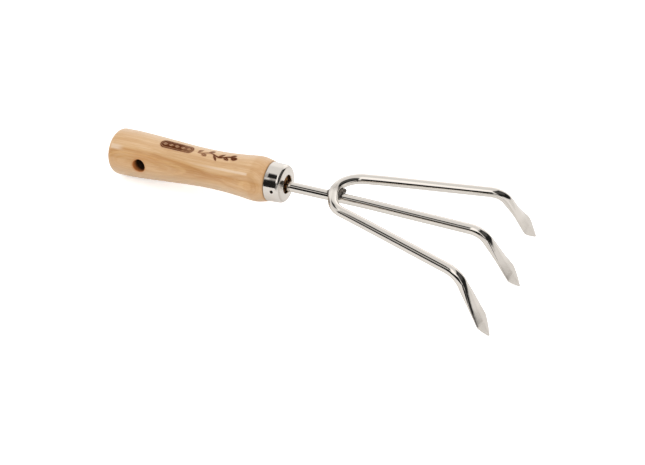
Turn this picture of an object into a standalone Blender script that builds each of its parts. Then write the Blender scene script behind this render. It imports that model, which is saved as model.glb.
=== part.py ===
"""Hand rake: a three-prong hand cultivator with a turned ash handle.

Frame: metres, +Z up. The origin is the centre of the handle's flat butt face, +X runs along the
handle's axis towards the tines, and the tines point down towards -Z. "Front" is +X, "near" is -Y and
"far" is +Y. The part is symmetric about the XZ plane, except for the hanging hole, the ferrule pin
and the marks of hand assembly.

Pieces: handle, ferrule, ferrule_pin, centre_tine_rod, outer_tine_rod, weld_bead_inner,
weld_bead_outer. The bars and welds are laid out in the tine head's frame: its origin is on the
handle's axis at HANDLE_L, and its X runs along the level part of the centre bar.
"""
import math

import bmesh
import bpy
from mathutils import Matrix, Vector

# All dimensions are in millimetres, turned to metres by MM, and all angles in degrees.
MM = 0.001
GAP = 0.30                # clearance between neighbouring pieces

# ---- handle ----
HANDLE_L = 134.8          # butt face to the tine head's origin
BUTT_FILLET = 4.2         # rounded rim of the butt
HANDLE_STATIONS = (       # distance from the butt face, radius
    (4.5, 16.70), (12.0, 16.74), (20.0, 16.50), (32.0, 15.85), (44.0, 15.08), (56.0, 14.32),
    (68.0, 13.72), (80.0, 13.54), (90.0, 13.82), (100.0, 14.52), (108.0, 15.32), (113.0, 15.75),
    (116.0, 15.66), (119.0, 15.16), (121.8, 14.46), (123.4, 14.12))
SHOULDER_CHAMFER = 0.35   # radial drop from the last station to the shoulder
SPIGOT_INSET = 3.8        # the wood ends this far behind the head's origin
SPIGOT_CHAMFER = 0.8
HANG_X = 26.8             # hanging hole: distance from the butt face
HANG_R = 4.6
HANG_TILT = 9.0           # the hole's axis is turned up this much from the -Y side
HANG_CUT_REACH = 22.0     # the cutter reaches this far either side of the axis

# ---- ferrule ----
FERRULE_L = 11.0          # back edge to the head's origin
FERRULE_R_BACK = 13.70    # outer radius at the wood
FERRULE_R_FRONT = 13.30   # outer radius before the rounded lip
FERRULE_WALL = 1.2
FERRULE_REACH = 0.8       # the ferrule's face is this far in front of the head's origin
FERRULE_LIP = 3.0         # radius of the rounded front lip
FERRULE_DOME = 0.3        # the front face rises this much towards its hole
FERRULE_MID_R = 8.6       # radius of the dome's middle station
FERRULE_MID_RISE = 0.55 * FERRULE_DOME
FERRULE_HOLE_R = 6.5      # hole in the front face
FERRULE_HOLE_CHAMFER = 0.35
FERRULE_BACK_CHAMFER = 0.3

# ---- ferrule pin; depths are measured from the top of its head ----
PIN_X = 130.2
PIN_TILT = 7.0            # turned up from the -Y side
PIN_SUNK = 0.55           # head's top below FERRULE_R_FRONT
PIN_L = 6.5
PIN_HEAD_R = 0.80
PIN_TOP_R = 0.7 * PIN_HEAD_R
PIN_SHANK_R = 0.50
PIN_CHAMFER = 0.25        # depth of the head's bevelled rim
PIN_HEAD_DEPTH = 0.8      # end of the head's full radius
PIN_NECK_DEPTH = 1.0      # start of the shank
PIN_POINT_L = 1.2
PIN_TIP_ROOM = 1.25       # the wood's hole goes this far past the tip
PIN_HOLE_R = 1.15         # hole in the ferrule
PIN_HOLE_INNER = 9.0      # radial distance where the ferrule's cutter begins
PIN_CUT_OUTER = 20.0      # radial distance where both pin cutters end

# ---- bars, in the head's frame ----
ROD_R = 3.5               # round bar, 7 mm
TANG_L = 52.0             # length of bar inside the handle
TANG_DROP = 1.33          # the tang lies this far below the head's origin
TANG_STATIONS = (TANG_L, 24.0, 6.0)         # distances back from the head's origin
BORE_ROOM = GAP + 0.05    # radial room round the tang
BORE_DEEPER = 2.0         # the bore goes this far past the tang's end
BORE_CUT_EXTRA = 4.0      # its cutter sticks out of the spigot by this much
SHANK_START_X = 4.0
SHANK_END_X = 60.0        # from here on the centre bar is level
SHANK_MID_X = 90.0        # a station on the level part
HEAD_PITCH = 2.69         # the head is pitched down from the handle's axis
BEND_R = 15.0             # centre-line radius of the tine bends
BEND_STEPS = 9
CENTRE_BEND_X = 138.76    # head's origin to the corner of the centre bar's bend
CENTRE_BEND_ANGLE = 54.4  # below the bar
CENTRE_TINE_L = 46.6      # bend corner to tip
U_APEX_X = 35.5           # head's origin to the U's apex, on the true circle
U_R = 19.97               # centre-line radius of the U
U_RISE = 4.6              # U's centre line above the level centre bar's
U_STEPS = 12              # steps round half of the U
U_CROSSING = 6.0          # centre bar stations this far either side of the apex
NIP_DEPTH = 1.35          # most the hand-bent U lies inside its true circle
NIP_OFFSET = 7.0          # the deepest place is this far from the apex towards -Y
NIP_WIDTH = 8.5
LEG_SPREAD = 15.58        # each leg opens this much from the X axis
LEG_BLEND = 8.0           # length over which a leg's pitch sets in
LEG_STATIONS = (5.0, 11.0, 20.0, 32.0, 56.0)   # distances from the U's tangent point
OUTER_BEND_ANGLE = 55.87
OUTER_TINE_L = 44.6       # nominal, sets how far the forging runs

# Hand-set differences between the bars, by side
NEAR, CENTRE, FAR = -1, 0, 1
LEG_SETS = {              # pitch down, U's tangent point to bend corner, bend corner to tip
    NEAR: (2.85, 90.74, 45.4),
    FAR: (3.40, 91.74, 43.8)}
BLADE_TWIST = {NEAR: 7.0, CENTRE: 7.0, FAR: 24.0}   # turn of each blade about its length
TINE_YAW = {NEAR: 0.4, CENTRE: 1.4, FAR: 3.2}       # turn outwards past the bend, centre to +Y

# ---- forged blades ----
BLADE_W = 13.0            # widest place
BLADE_TIP_HALF_W = 0.55
BLADE_POINT_L = 11.0      # length of the pointed end
BLADE_SKEW = 1.3          # one shoulder of the point is this much further back, the other nearer
BLADE_EDGE = 0.45         # half thickness at the edges
BLADE_RIDGE = 1.75        # height of the ridge on the outer face
BLADE_BACK = 1.05         # height of the inner face
BLADE_TIP_THIN = 0.45     # share of those heights left at the tip
BLADE_RUN_ON = 1.0        # nominal run of the forging into the bend
POINT_STATIONS = (        # distances from the tip
    0.0, 0.5, 1.6, 3.4, 5.6, 7.8,
    BLADE_POINT_L - BLADE_SKEW, BLADE_POINT_L, BLADE_POINT_L + BLADE_SKEW)
STATION_ROOM = 0.2        # no station is nearer than this to the bend's end

# ---- welds ----
CENTRE_CUTTER_L = 60.0    # length of the cylinder that clears the centre bar
WELDS = (                 # name, centre in the head's frame, ellipsoid radii, radius it is bent to
    ("weld_bead_inner", (U_APEX_X + 5.2, 0.8, 2.5), (3.2, 6.2, 2.9), U_R - ROD_R),
    ("weld_bead_outer", (U_APEX_X - 3.1, 0.0, 2.7), (1.7, 3.4, 1.8), U_R + ROD_R))

SECTION_POINTS = 18       # points round a bar
TURN_STEPS = 44           # steps round the handle and ferrule

MATERIALS = {
    "ash_wood": dict(colour=(0.62, 0.39, 0.21), roughness=0.45, metallic=0.0),
    "polished_steel": dict(colour=(0.78, 0.77, 0.75), roughness=0.10, metallic=1.0),
    "ferrule_steel": dict(colour=(0.80, 0.79, 0.78), roughness=0.12, metallic=1.0),
    "pin_steel": dict(colour=(0.30, 0.29, 0.28), roughness=0.40, metallic=1.0),
    "weld_metal": dict(colour=(0.34, 0.32, 0.30), roughness=0.35, metallic=1.0)}


# ---- scene, materials and objects ----
def clear_scene():
    for obj in list(bpy.data.objects):
        bpy.data.objects.remove(obj, do_unlink=True)
    for coll in list(bpy.data.collections):
        bpy.data.collections.remove(coll)


def new_collection(name):
    coll = bpy.data.collections.new(name)
    bpy.context.scene.collection.children.link(coll)
    return coll


def principled(name, colour, roughness, metallic):
    mat = bpy.data.materials.new(name)
    mat.use_nodes = True
    bsdf = mat.node_tree.nodes["Principled BSDF"]
    bsdf.inputs["Base Color"].default_value = (*colour, 1.0)
    bsdf.inputs["Roughness"].default_value = roughness
    bsdf.inputs["Metallic"].default_value = metallic
    mat.diffuse_color = (*colour, 1.0)
    return mat


def add_object(name, bm, coll, mat=None, smooth=False):
    """Turn the bmesh into an object and free it."""
    mesh = bpy.data.meshes.new(name)
    bm.to_mesh(mesh)
    bm.free()
    if smooth:
        mesh.shade_smooth()
    obj = bpy.data.objects.new(name, mesh)
    coll.objects.link(obj)
    if mat is not None:
        mesh.materials.append(mat)
    return obj


def as_cutter(obj):
    obj.hide_render = True
    obj.display_type = "WIRE"
    return obj


def cut(obj, cutter, name):
    mod = obj.modifiers.new(name, "BOOLEAN")
    mod.operation = "DIFFERENCE"
    mod.solver = "EXACT"
    mod.object = cutter


# ---- turned pieces and cylinders ----
def turned(name, profile, coll, mat=None, steps=TURN_STEPS, closed=False):
    """Spin a profile of (radius, distance along X) round the X axis with a Screw modifier."""
    bm = bmesh.new()
    verts = [bm.verts.new((r * MM, 0.0, z * MM)) for r, z in profile]
    for start, end in zip(verts, verts[1:]):
        bm.edges.new((start, end))
    if closed:
        bm.edges.new((verts[-1], verts[0]))
    obj = add_object(name, bm, coll, mat)
    screw = obj.modifiers.new("Turn", "SCREW")
    screw.axis = "Z"
    screw.angle = math.tau
    screw.steps = steps
    screw.render_steps = steps
    screw.use_merge_vertices = True
    screw.merge_threshold = 0.00001
    screw.use_smooth_shade = True
    obj.rotation_euler = (0.0, math.radians(90.0), 0.0)   # local +Z becomes world +X
    return obj


def arc(centre_r, centre_z, radius, start, end, steps):
    """Points (radius, z) on an arc, angles in degrees from +radius towards +z."""
    angles = [math.radians(start + (end - start) * i / steps) for i in range(steps + 1)]
    return [(centre_r + radius * math.cos(a), centre_z + radius * math.sin(a)) for a in angles]


def cylinder(name, radius, length, coll, segments):
    """A cutter along local Z, centred on its origin."""
    bm = bmesh.new()
    bmesh.ops.create_cone(bm, cap_ends=True, cap_tris=False, segments=segments,
                          radius1=radius * MM, radius2=radius * MM, depth=length * MM)
    return as_cutter(add_object(name, bm, coll))


def place_radial(obj, x, tilt, distance):
    """Point local +Z outwards from the handle's axis to the -Y side, turned up by tilt."""
    angle = math.radians(tilt)
    outwards = Vector((0.0, -math.cos(angle), math.sin(angle)))
    obj.location = Vector((x * MM, 0.0, 0.0)) + outwards * (distance * MM)
    obj.rotation_mode = "QUATERNION"
    obj.rotation_quaternion = outwards.to_track_quat("Z", "Y")


def radial_cylinder(name, x, tilt, radius, inner, outer, coll, segments):
    """A cutter from inner to outer, distances from the handle's axis along its own axis."""
    obj = cylinder(name, radius, outer - inner, coll, segments)
    place_radial(obj, x, tilt, 0.5 * (inner + outer))
    return obj


# ---- bars: a bent centre line, swept with a section that changes from round bar to blade ----
def smoothstep(low, high, x):
    t = min(1.0, max(0.0, (x - low) / (high - low)))
    return t * t * (3.0 - 2.0 * t)


def head_to_part(p):
    """From the tine head's frame to the part's, both in millimetres."""
    pitch = math.radians(HEAD_PITCH)
    return Vector((HANDLE_L + p.x * math.cos(pitch) + p.z * math.sin(pitch), p.y,
                   -p.x * math.sin(pitch) + p.z * math.cos(pitch)))


def fillet_corner(before, corner, after):
    """Points that round the corner with the bend radius."""
    to_before = (before - corner).normalized()
    to_after = (after - corner).normalized()
    half = 0.5 * to_before.angle(to_after)
    reach = BEND_R / math.tan(half)
    centre = corner + (to_before + to_after).normalized() * (BEND_R / math.sin(half))
    start = corner + to_before * reach - centre
    end = corner + to_after * reach - centre
    turn = start.angle(end)
    axis = start.cross(end).normalized()
    return [centre + Matrix.Rotation(turn * i / BEND_STEPS, 3, axis) @ start
            for i in range(BEND_STEPS + 1)]


def tine_end(before, corner, heading, drop, length):
    """The bend and the tip of a tine. heading is its angle from X towards +Y, in radians."""
    down = math.radians(drop)
    tip = corner + Vector((math.cos(down) * math.cos(heading), math.cos(down) * math.sin(heading),
                           -math.sin(down))) * length
    return fillet_corner(before, corner, tip) + [tip]


def blade_length(tine_l, bend_angle):
    """Distance from the tip at which the round bar begins."""
    return tine_l - BEND_R * math.tan(math.radians(bend_angle) / 2) + BLADE_RUN_ON


def add_blade_stations(path, blade_l):
    """Put the blade's stations on the straight run at the end of the path."""
    stations = list(POINT_STATIONS)
    stations += [BLADE_POINT_L + (blade_l - BLADE_POINT_L) * (i / 6.0) for i in range(2, 7)]
    tip = path[-1]
    run = path[-2] - tip
    back = run.normalized()
    limit = run.length - STATION_ROOM
    return path[:-1] + [tip + back * d for d in sorted(stations, reverse=True) if d < limit]


def blade_half_width(distance, blade_l, point_l):
    """Half width at a distance from the tip, for a point of length point_l."""
    widest = 0.5 * BLADE_W
    if distance <= point_l:
        t = distance / point_l
        return BLADE_TIP_HALF_W + (widest - BLADE_TIP_HALF_W) * (1.0 - (1.0 - t) ** 1.2)
    t = min(1.0, (distance - point_l) / (blade_l - point_l)) ** 1.1
    return widest + (ROD_R - widest) * t


def bar_section(distance, blade_l, side):
    """Section at a distance from the tip, as (across, up) pairs; round bar from blade_l on."""
    angles = [math.tau * (i + 0.5) / SECTION_POINTS for i in range(SECTION_POINTS)]
    if distance >= blade_l:
        return [(ROD_R * math.cos(a), ROD_R * math.sin(a)) for a in angles]
    forged = 1.0 - smoothstep(BLADE_POINT_L * 0.9, blade_l, distance)   # 1 blade, 0 round bar
    skew = side * BLADE_SKEW
    width_plus = blade_half_width(distance, blade_l, BLADE_POINT_L + skew)
    width_minus = blade_half_width(distance, blade_l, BLADE_POINT_L - skew)
    thin = BLADE_TIP_THIN + (1.0 - BLADE_TIP_THIN) * min(1.0, distance / BLADE_POINT_L)
    section = []
    for angle in angles:
        cos, sin = math.cos(angle), math.sin(angle)
        inward = 1.0 - abs(cos)      # 0 at the edges, 1 in the middle
        if sin > 0:
            up = BLADE_EDGE + (BLADE_RIDGE * thin - BLADE_EDGE) * inward
        else:
            up = -(BLADE_EDGE + (BLADE_BACK * thin - BLADE_EDGE) * inward ** 0.7)
        width = width_plus if cos > 0.0 else width_minus
        section.append((width * cos, (1.0 - forged) * ROD_R * sin + forged * up))
    return section


def sweep(name, path, coll, mat=None, blades=(False, False), blade_l=0.0, twist=(0.0, 0.0),
          radius=ROD_R):
    """Sweep a bar along the path. blades and twist are for its first and last end."""
    scale = radius / ROD_R
    from_first = [0.0]
    for start, end in zip(path, path[1:]):
        from_first.append(from_first[-1] + (end - start).length)
    bm = bmesh.new()
    rings = []
    for i, p in enumerate(path):
        along = (path[min(i + 1, len(path) - 1)] - path[max(i - 1, 0)]).normalized()
        across = Vector((0.0, 0.0, 1.0)).cross(along).normalized()
        up = along.cross(across).normalized()
        distance, side, end_twist = math.inf, 1.0, twist[1]
        if blades[0]:
            distance, side, end_twist = from_first[i], -1.0, twist[0]
        if blades[1] and from_first[-1] - from_first[i] < distance:
            distance, side, end_twist = from_first[-1] - from_first[i], 1.0, twist[1]
        turn = math.radians(end_twist) * (1.0 - smoothstep(BLADE_POINT_L, blade_l, distance))
        across, up = (across * math.cos(turn) + up * math.sin(turn),
                      up * math.cos(turn) - across * math.sin(turn))
        rings.append([bm.verts.new(head_to_part(p + (across * x + up * y) * scale) * MM)
                      for x, y in bar_section(distance, blade_l, side)])
    for ring, following in zip(rings, rings[1:]):
        for j in range(SECTION_POINTS):
            k = (j + 1) % SECTION_POINTS
            bm.faces.new((ring[j], ring[k], following[k], following[j]))
    bm.faces.new(list(reversed(rings[0])))
    bm.faces.new(rings[-1])
    bmesh.ops.recalc_face_normals(bm, faces=bm.faces[:])
    return add_object(name, bm, coll, mat, smooth=True)


def shank_height(x):
    """Height of the centre bar's shank; it climbs from the tang to where it runs level."""
    return -TANG_DROP * max(0.0, 1.0 - x / SHANK_END_X)


def centre_bar_path():
    """Tang, shank and centre tine. The tang runs parallel to the handle's axis, below it."""
    pitch = math.radians(HEAD_PITCH)
    path = [Vector((-d * math.cos(pitch), 0.0, -d * math.sin(pitch) - TANG_DROP))
            for d in TANG_STATIONS]
    path += [Vector((x, 0.0, shank_height(x)))
             for x in (SHANK_START_X, U_APEX_X - U_CROSSING, U_APEX_X + U_CROSSING,
                       SHANK_END_X, SHANK_MID_X)]
    return path + tine_end(Vector((0.0, 0.0, 0.0)), Vector((CENTRE_BEND_X, 0.0, 0.0)),
                           math.radians(TINE_YAW[CENTRE]), CENTRE_BEND_ANGLE, CENTRE_TINE_L)


def leg_height(s, pitch):
    """Height of the U bar's centre line, s along a leg from the U's tangent point."""
    x = s / LEG_BLEND
    soft = LEG_BLEND * (math.log1p(math.exp(-abs(x))) + max(x, 0.0))
    return U_RISE - math.tan(math.radians(pitch)) * soft


def u_nip(s):
    """How far the U's centre line lies inside a true circle, s from the apex towards +Y."""
    return NIP_DEPTH * math.exp(-((s + NIP_OFFSET) / NIP_WIDTH) ** 2)


def outer_bar_half(side):
    """Half of the U bar, from the apex to the tip; laid out at +Y, then put on its side."""
    pitch, leg_l, tine_l = LEG_SETS[side]
    spread = math.radians(LEG_SPREAD)
    quarter = math.pi / 2 - spread
    centre = Vector((U_APEX_X + U_R, 0.0, 0.0))
    half = []
    for i in range(U_STEPS + 1):
        angle = math.pi - quarter * i / U_STEPS
        s = -U_R * quarter * (1.0 - i / U_STEPS)
        r = U_R - u_nip(side * (s + U_R * quarter))
        half.append(centre + Vector((r * math.cos(angle), r * math.sin(angle),
                                     leg_height(s, pitch))))
    tangent = centre + Vector((-U_R * math.sin(spread), U_R * math.cos(spread), 0.0))
    outwards = Vector((math.cos(spread), math.sin(spread), 0.0))

    def on_leg(s):
        return tangent + outwards * s + Vector((0.0, 0.0, leg_height(s, pitch)))

    half += [on_leg(s) for s in LEG_STATIONS]
    corner = on_leg(leg_l * math.cos(math.radians(pitch)))
    heading = spread + math.radians(TINE_YAW[side])
    half += tine_end(half[-1], corner, heading, OUTER_BEND_ANGLE, tine_l)
    return [Vector((p.x, side * p.y, p.z)) for p in half]


# ---- pieces ----
def build_handle(part, cutters, mat):
    """Turned handle with a spigot, a hanging hole, a hole for the pin and a bore for the tang."""
    spigot_r = FERRULE_R_BACK - FERRULE_WALL - GAP
    spigot_r_front = FERRULE_R_FRONT - FERRULE_WALL - GAP
    spigot_end = HANDLE_L - SPIGOT_INSET
    shoulder = HANDLE_L - FERRULE_L - GAP
    profile = [(0.0, spigot_end), (spigot_r_front - SPIGOT_CHAMFER, spigot_end),
               (spigot_r_front, spigot_end - SPIGOT_CHAMFER), (spigot_r, shoulder),
               (HANDLE_STATIONS[-1][1] - SHOULDER_CHAMFER, shoulder)]
    profile += [(r, x) for x, r in reversed(HANDLE_STATIONS)]
    profile += arc(HANDLE_STATIONS[0][1] - BUTT_FILLET, BUTT_FILLET, BUTT_FILLET, 0.0, -90.0, 5)
    profile.append((0.0, 0.0))
    handle = turned("handle", profile, part, mat)

    cut(handle, radial_cylinder("hanging_hole_cutter", HANG_X, HANG_TILT, HANG_R,
                                -HANG_CUT_REACH, HANG_CUT_REACH, cutters, segments=28),
        "Hanging hole")
    hole_end = FERRULE_R_FRONT - PIN_SUNK - PIN_L - PIN_TIP_ROOM
    cut(handle, radial_cylinder("pin_hole_cutter", PIN_X, PIN_TILT, PIN_HEAD_R + GAP,
                                hole_end, PIN_CUT_OUTER, cutters, segments=14),
        "Pin hole")
    bore_r = ROD_R + BORE_ROOM
    bore_front = spigot_end + BORE_CUT_EXTRA
    bore_end = HANDLE_L - TANG_L - BORE_DEEPER
    bore = as_cutter(turned("tang_bore_cutter", [(0.0, bore_front), (bore_r, bore_front),
                                                 (bore_r, bore_end), (0.0, bore_end)],
                            cutters, steps=28))
    bore.location.z = -TANG_DROP * math.cos(math.radians(HEAD_PITCH)) * MM
    cut(handle, bore, "Tang bore")


def build_ferrule(part, cutters, mat):
    """Steel cap: a closed loop, its outer side from front to back, then its inner side."""
    back = HANDLE_L - FERRULE_L
    face = HANDLE_L + FERRULE_REACH
    nose = face + FERRULE_DOME
    lip_r = FERRULE_R_FRONT - FERRULE_LIP
    lip_x = face - FERRULE_LIP
    profile = [(FERRULE_HOLE_R, nose - FERRULE_HOLE_CHAMFER),
               (FERRULE_HOLE_R + FERRULE_HOLE_CHAMFER, nose),
               (FERRULE_MID_R, face + FERRULE_MID_RISE)]
    profile += arc(lip_r, lip_x, FERRULE_LIP, 90.0, 0.0, 6)
    profile += [(FERRULE_R_BACK, back + FERRULE_BACK_CHAMFER),
                (FERRULE_R_BACK - FERRULE_BACK_CHAMFER, back),
                (FERRULE_R_BACK - FERRULE_WALL, back)]
    profile += arc(lip_r, lip_x, FERRULE_LIP - FERRULE_WALL, 0.0, 90.0, 2)
    profile += [(FERRULE_MID_R, face - FERRULE_WALL + FERRULE_MID_RISE),
                (FERRULE_HOLE_R, nose - FERRULE_WALL)]
    ferrule = turned("ferrule", profile, part, mat, closed=True)
    cut(ferrule, radial_cylinder("ferrule_pin_cutter", PIN_X, PIN_TILT, PIN_HOLE_R,
                                 PIN_HOLE_INNER, PIN_CUT_OUTER, cutters, segments=16),
        "Pin hole")


def build_ferrule_pin(part, mat):
    """A small nail, its head sunk in the ferrule's hole."""
    top = FERRULE_R_FRONT - PIN_SUNK
    profile = [(0.0, top), (PIN_TOP_R, top), (PIN_HEAD_R, top - PIN_CHAMFER),
               (PIN_HEAD_R, top - PIN_HEAD_DEPTH), (PIN_SHANK_R, top - PIN_NECK_DEPTH),
               (PIN_SHANK_R, top - PIN_L + PIN_POINT_L), (0.0, top - PIN_L)]
    pin = turned("ferrule_pin", profile, part, mat, steps=14)
    place_radial(pin, PIN_X, PIN_TILT, 0.0)


def build_centre_bar(part, mat):
    blade_l = blade_length(CENTRE_TINE_L, CENTRE_BEND_ANGLE)
    return sweep("centre_tine_rod", add_blade_stations(centre_bar_path(), blade_l), part, mat,
                 blades=(False, True), blade_l=blade_l, twist=(0.0, BLADE_TWIST[CENTRE]))


def build_outer_bar(part, cutters, mat):
    """The U bar, near tip to far tip. Returns a cutter: its bend, enlarged by the gap."""
    blade_l = blade_length(OUTER_TINE_L, OUTER_BEND_ANGLE)
    near = add_blade_stations(outer_bar_half(NEAR), blade_l)
    far = add_blade_stations(outer_bar_half(FAR), blade_l)
    path = list(reversed(near[1:])) + far
    sweep("outer_tine_rod", path, part, mat, blades=(True, True), blade_l=blade_l,
          twist=(BLADE_TWIST[NEAR], BLADE_TWIST[FAR]))
    bend = [p for p in path if p.x < U_APEX_X + 1.3 * U_R]
    return as_cutter(sweep("u_bend_cutter", bend, cutters, radius=ROD_R + GAP))


def centre_bar_cutter(cutters):
    """The centre bar's shank, enlarged by the gap."""
    cutter = cylinder("centre_bar_cutter", ROD_R + GAP, CENTRE_CUTTER_L, cutters, segments=24)
    slope = math.degrees(math.atan(TANG_DROP / SHANK_END_X))
    cutter.location = head_to_part(Vector((U_APEX_X, 0.0, shank_height(U_APEX_X)))) * MM
    cutter.rotation_euler = (0.0, math.radians(90.0 + HEAD_PITCH - slope), 0.0)
    return cutter


def build_weld(name, centre, radii, bent_r, part, mat):
    """An ellipsoid bent to follow the U."""
    bm = bmesh.new()
    size = Matrix.Diagonal((*(r * MM for r in radii), 1.0))
    bmesh.ops.create_icosphere(bm, subdivisions=3, radius=1.0, matrix=size)
    for v in bm.verts:
        y = v.co.y / MM + centre[1]
        v.co.x += 0.5 * y * y / bent_r * MM
    bead = add_object(name, bm, part, mat, smooth=True)
    bead.location = head_to_part(Vector(centre)) * MM
    bead.rotation_euler = (0.0, math.radians(HEAD_PITCH), 0.0)
    return bead


def build():
    clear_scene()
    part = new_collection("hand_rake")
    cutters = new_collection("hand_rake_cutters")
    mats = {name: principled(name, **settings) for name, settings in MATERIALS.items()}

    build_handle(part, cutters, mats["ash_wood"])
    build_ferrule(part, cutters, mats["ferrule_steel"])
    build_ferrule_pin(part, mats["pin_steel"])
    centre_bar = build_centre_bar(part, mats["polished_steel"])
    u_cutter = build_outer_bar(part, cutters, mats["polished_steel"])
    cut(centre_bar, u_cutter, "Set down under the U")
    bar_cutter = centre_bar_cutter(cutters)
    for name, centre, radii, bent_r in WELDS:
        bead = build_weld(name, centre, radii, bent_r, part, mats["weld_metal"])
        cut(bead, u_cutter, "Clear of the U bar")
        cut(bead, bar_cutter, "Clear of the centre bar")


build()
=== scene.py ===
"""Three-tined hand rake: turned ash handle, steel ferrule with a nail, two welded steel bars with forged blades.

The handle's axis is X: the butt face is at x = 0, the tines are at the +X end and point down, to -Z.
Lengths are in millimetres, turned into metres where vertices are made; the stage and camera are in metres.
"""

import math
from types import SimpleNamespace

import bmesh
import bpy
import numpy as np
from mathutils import Matrix, Vector


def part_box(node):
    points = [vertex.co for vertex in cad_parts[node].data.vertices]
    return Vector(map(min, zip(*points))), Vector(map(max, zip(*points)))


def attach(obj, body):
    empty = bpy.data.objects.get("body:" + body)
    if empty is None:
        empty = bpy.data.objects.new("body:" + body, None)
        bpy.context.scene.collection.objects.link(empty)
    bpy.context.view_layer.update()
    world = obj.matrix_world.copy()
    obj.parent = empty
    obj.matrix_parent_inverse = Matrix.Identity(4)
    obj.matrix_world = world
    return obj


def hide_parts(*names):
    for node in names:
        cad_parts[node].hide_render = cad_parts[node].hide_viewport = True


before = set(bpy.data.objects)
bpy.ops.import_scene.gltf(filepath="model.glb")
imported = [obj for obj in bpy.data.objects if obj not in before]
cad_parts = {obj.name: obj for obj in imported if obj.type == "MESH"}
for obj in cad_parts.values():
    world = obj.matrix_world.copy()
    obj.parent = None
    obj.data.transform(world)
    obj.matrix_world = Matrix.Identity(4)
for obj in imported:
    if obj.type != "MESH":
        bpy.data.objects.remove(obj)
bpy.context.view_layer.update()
MM = 0.001
DEGREES = 180.0 / math.pi

# ---------------------------------------------------------------- sizes
_, handle_hi = (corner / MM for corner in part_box("handle"))
ferrule_lo, ferrule_hi = (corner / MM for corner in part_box("ferrule"))

FERRULE_DOME = 0.3                     # the ferrule's face rises towards its hole
FERRULE_REACH = 0.8                    # ferrule face beyond the head's origin
HANDLE_L = ferrule_hi.x - FERRULE_DOME - FERRULE_REACH       # butt face to the head's origin
FERRULE_FACE = HANDLE_L + FERRULE_REACH
FERRULE_BACK = ferrule_lo.x
FERRULE_R_BACK = ferrule_hi.z
FERRULE_R_FRONT = FERRULE_R_BACK - 0.40
FERRULE_WALL, FERRULE_LIP, FERRULE_HOLE_R = 1.2, 3.0, 6.5
SPIGOT_END = handle_hi.x
SPIGOT_GAP = 0.35                      # between the spigot and the ferrule's inner wall
BUTT_FILLET = 4.2
BUTT_FACE_RADII = (0.0, 3.0, 6.0, 8.5, 10.5, 11.9)
# handle outline: (x, radius)
STATIONS = (
    (4.5, 16.70), (12.0, 16.74), (20.0, 16.50), (32.0, 15.85), (44.0, 15.08), (56.0, 14.32),
    (68.0, 13.72), (80.0, 13.54), (90.0, 13.82), (100.0, 14.52), (108.0, 15.32), (113.0, 15.75),
    (116.0, 15.66), (119.0, 15.16), (121.8, 14.46), (123.4, 14.12))
WOOD_END = STATIONS[-1][0]
# tilts are degrees up from the -Y direction
HANG_X, HANG_R, HANG_TILT, HANG_FILLET = 26.8, 4.6, 9.0, 0.9
PIN_X, PIN_TILT, PIN_HOLE_R, PIN_HEAD_R = 130.2, 7.0, 1.15, 0.80
PIN_SHANK_R = 0.5

# bars; angles are in degrees
ROD_R, TANG_L, TANG_DROP = 3.5, 52.0, 1.33
HEAD_PITCH = 2.69                      # the head's own X axis dips this much below the handle's
SHANK_END_X = 60.0
SHANK_BEND_R = 300.0
CENTRE_BEND_X, CENTRE_BEND_ANGLE, CENTRE_TINE_L, BEND_R = 138.76, 54.4, 46.6, 15.0
BEND_STEPS = 28
U_APEX_X, U_R, U_RISE, LEG_SPREAD = 35.5, 19.97, 4.6, 15.58
# side (-1 is -Y, 1 is +Y): leg pitch, leg length, tine length
LEG_SETS = {-1: (2.85, 90.74, 45.4), 1: (3.40, 91.74, 43.8)}
OUTER_BEND_ANGLE, OUTER_TINE_L = 55.87, 44.6
BAR_SIDES = 48
BLADE_W, BLADE_POINT_L, BLADE_SKEW = 13.0, 11.0, 1.3
BLADE_TIP_HALF_W = 0.5
BLADE_TWIST = {-1: 7.0, 0: 7.0, 1: 24.0}
TINE_YAW = {-1: 0.4, 0: 1.4, 1: 3.2}
BLADE_EDGE, BLADE_RIDGE, BLADE_BACK = 0.45, 1.75, 1.05      # heights off the blade's middle plane
BLADE_STEP = 0.8
RIDGE_SOFTNESS = 0.0035


# ---------------------------------------------------------------- mesh helpers
def smoothstep(start, end, x):
    t = min(1.0, max(0.0, (x - start) / (end - start)))
    return t * t * (3.0 - 2.0 * t)


def handle_radius(x):
    """Smooth Hermite curve through the handle's stations."""
    last = len(STATIONS) - 1

    def slope(i):
        (x0, r0), (x1, r1) = STATIONS[max(i - 1, 0)], STATIONS[min(i + 1, last)]
        return (r1 - r0) / (x1 - x0)

    i = max(k for k in range(last) if STATIONS[k][0] <= x)
    (x0, r0), (x1, r1) = STATIONS[i], STATIONS[i + 1]
    span = x1 - x0
    t = (x - x0) / span
    return ((2 * t ** 3 - 3 * t ** 2 + 1) * r0 + (t ** 3 - 2 * t ** 2 + t) * span * slope(i)
            + (-2 * t ** 3 + 3 * t ** 2) * r1 + (t ** 3 - t ** 2) * span * slope(i + 1))


def make_object(name, bm):
    bmesh.ops.recalc_face_normals(bm, faces=bm.faces[:])
    mesh = bpy.data.meshes.new(name)
    bm.to_mesh(mesh)
    bm.free()
    mesh.shade_smooth()
    obj = bpy.data.objects.new(name, mesh)
    bpy.context.scene.collection.objects.link(obj)
    return obj


def piece(obj, node):
    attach(obj, "root")
    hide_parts(node)
    return obj


def join_cell(bm, ring, following, j):
    """Face between two rings; a pole's repeated vertex is used once."""
    k = (j + 1) % len(ring)
    corners = [ring[j], ring[k], following[k], following[j]]
    corners = [v for m, v in enumerate(corners) if v is not corners[m - 1]]
    if len(corners) > 2:
        bm.faces.new(corners)


def join_rings(bm, ring, following):
    for j in range(len(ring)):
        join_cell(bm, ring, following, j)


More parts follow.
